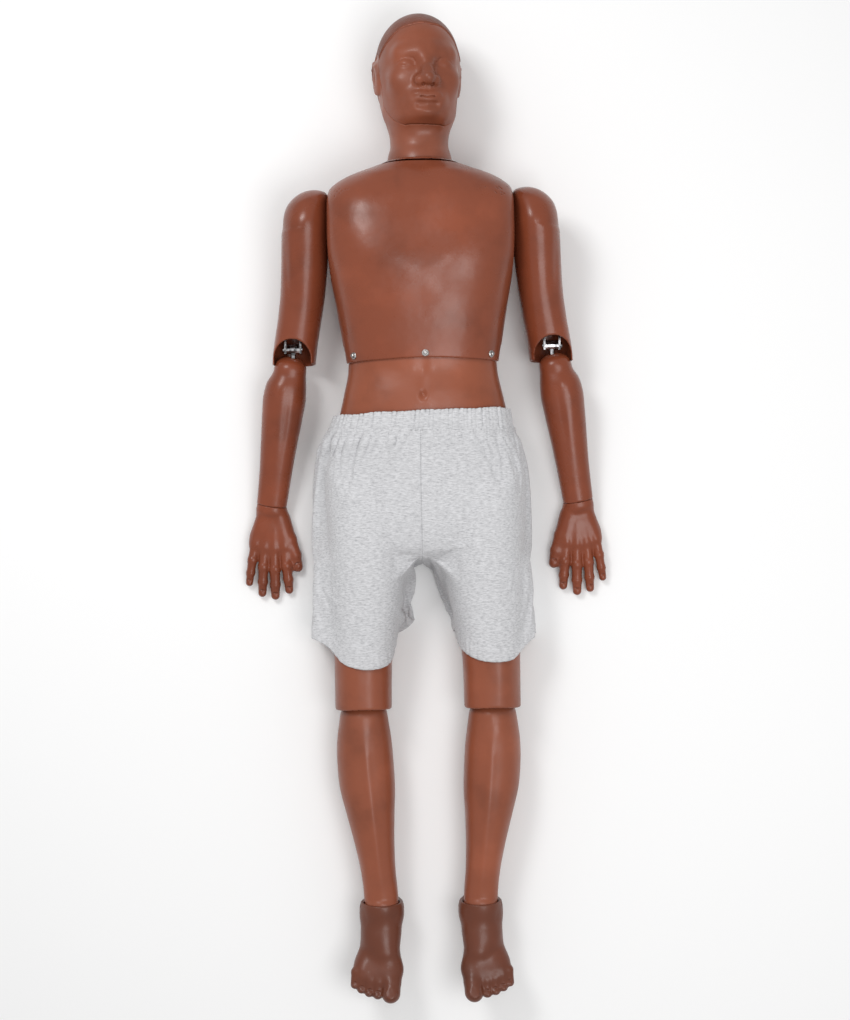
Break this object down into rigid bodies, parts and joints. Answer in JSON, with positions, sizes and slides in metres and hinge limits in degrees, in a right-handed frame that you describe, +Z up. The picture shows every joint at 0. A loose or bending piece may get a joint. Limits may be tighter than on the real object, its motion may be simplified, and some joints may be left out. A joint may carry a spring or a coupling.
{
  "type": "rescue training manikin",
  "caption": "Life-size jointed adult training manikin in brown vinyl with hinged limbs, a screwed-on chest skin, closed eyes and grey jersey shorts, lying on its back.",
  "frame": {"origin": "centre of the bounding box at the floor that the back rests on", "axes": "+Y from the feet toward the crown, +Z up from the floor through the chest, +X toward the manikin's left arm"},
  "size_m": [0.6474, 1.732, 0.2208],
  "materials": {
    "vinyl": "satin",
    "hair_vinyl": "satin",
    "chrome": "polished",
    "white_plastic": "matte",
    "board": "matte",
    "jersey": "matte"
  },
  "bodies": {
    "trunk": {"torso_shell": "vinyl", "chest_skin": "vinyl", "pelvis_shell": "vinyl", "rib_plate": "white_plastic", "chest_spring": "chrome", "spring_seat": "white_plastic", "neck_bulkhead": "board", "neck_bolt": "chrome", "hip_rod": "chrome", "shorts_waistband": "jersey", "shorts_right": "jersey", "shorts_left": "jersey", "chest_screw_right": "chrome", "screw_cup_right": "chrome", "chest_screw_middle": "chrome", "screw_cup_middle": "chrome", "chest_screw_left": "chrome", "screw_cup_left": "chrome", "shoulder_bolt_right": "chrome", "shoulder_nut_right": "chrome", "hip_nut_right": "chrome", "shoulder_bolt_left": "chrome", "shoulder_nut_left": "chrome", "hip_nut_left": "chrome"},
    "neck": {"neck_fork": "chrome", "neck_pin": "chrome"},
    "head": {"head_shell": "hair_vinyl", "face_skin": "vinyl"},
    "upper_arm_right": {"upper_arm_right": "vinyl", "elbow_yoke_right": "chrome", "elbow_pin_right": "chrome"},
    "forearm_right": {"forearm_right": "vinyl", "elbow_eye_right": "chrome", "wrist_bolt_right": "chrome"},
    "hand_right": {"hand_right": "vinyl"},
    "thigh_right": {"thigh_right": "vinyl", "knee_yoke_right": "chrome", "knee_pin_right": "chrome"},
    "shin_right": {"shin_right": "vinyl", "knee_eye_right": "chrome", "ankle_pin_right": "chrome"},
    "foot_right": {"foot_right": "vinyl"},
    "upper_arm_left": {"upper_arm_left": "vinyl", "elbow_yoke_left": "chrome", "elbow_pin_left": "chrome"},
    "forearm_left": {"forearm_left": "vinyl", "elbow_eye_left": "chrome", "wrist_bolt_left": "chrome"},
    "hand_left": {"hand_left": "vinyl"},
    "thigh_left": {"thigh_left": "vinyl", "knee_yoke_left": "chrome", "knee_pin_left": "chrome"},
    "shin_left": {"shin_left": "vinyl", "knee_eye_left": "chrome", "ankle_pin_left": "chrome"},
    "foot_left": {"foot_left": "vinyl"}
  },
  "joints": [
    {"name": "head_turn", "type": "hinge", "parent": "trunk", "child": "neck", "pos_m": [0, 0.604, 0.105], "axis": [0, 1, 0], "range_deg": [-60, 60]},
    {"name": "head_tilt", "type": "hinge", "parent": "neck", "child": "head", "pos_m": [0, 0.604, 0.105], "axis": [-1, 0, 0], "range_deg": [-10, 25]},
    {"name": "shoulder_right", "type": "hinge", "parent": "trunk", "child": "upper_arm_right", "pos_m": [-0.2015, 0.5, 0.105], "axis": [-1, 0, 0], "range_deg": [0, 170]},
    {"name": "elbow_right", "type": "hinge", "parent": "upper_arm_right", "child": "forearm_right", "pos_m": [-0.2285, 0.288, 0.07], "axis": [-1, 0, 0], "range_deg": [0, 60]},
    {"name": "wrist_right", "type": "hinge", "parent": "forearm_right", "child": "hand_right", "pos_m": [-0.27482, 0.01304, 0.02467], "axis": [-0.164, -0.9733, -0.1605], "range_deg": [-80, 80]},
    {"name": "hip_right", "type": "hinge", "parent": "trunk", "child": "thigh_right", "pos_m": [-0.1012, 0, 0.088], "axis": [-1, 0, 0], "range_deg": [0, 90], "deforming": ["shorts_right", "shorts_left", "shorts_waistband"]},
    {"name": "knee_right", "type": "hinge", "parent": "thigh_right", "child": "shin_right", "pos_m": [-0.114, -0.322, 0.062], "axis": [1, 0, 0], "range_deg": [0, 60]},
    {"name": "ankle_right", "type": "hinge", "parent": "shin_right", "child": "foot_right", "pos_m": [-0.0875, -0.7, 0.063], "axis": [-1, 0, 0], "range_deg": [0, 20]},
    {"name": "shoulder_left", "type": "hinge", "parent": "trunk", "child": "upper_arm_left", "pos_m": [0.2015, 0.5, 0.105], "axis": [-1, 0, 0], "range_deg": [0, 170]},
    {"name": "elbow_left", "type": "hinge", "parent": "upper_arm_left", "child": "forearm_left", "pos_m": [0.2285, 0.288, 0.07], "axis": [-1, 0, 0], "range_deg": [0, 60]},
    {"name": "wrist_left", "type": "hinge", "parent": "forearm_left", "child": "hand_left", "pos_m": [0.27482, 0.01304, 0.02467], "axis": [0.164, -0.9733, -0.1605], "range_deg": [-80, 80]},
    {"name": "hip_left", "type": "hinge", "parent": "trunk", "child": "thigh_left", "pos_m": [0.1012, 0, 0.088], "axis": [-1, 0, 0], "range_deg": [0, 90], "deforming": ["shorts_left", "shorts_right", "shorts_waistband"]},
    {"name": "knee_left", "type": "hinge", "parent": "thigh_left", "child": "shin_left", "pos_m": [0.114, -0.322, 0.062], "axis": [1, 0, 0], "range_deg": [0, 60]},
    {"name": "ankle_left", "type": "hinge", "parent": "shin_left", "child": "foot_left", "pos_m": [0.0875, -0.7, 0.063], "axis": [-1, 0, 0], "range_deg": [0, 20]}
  ]
}
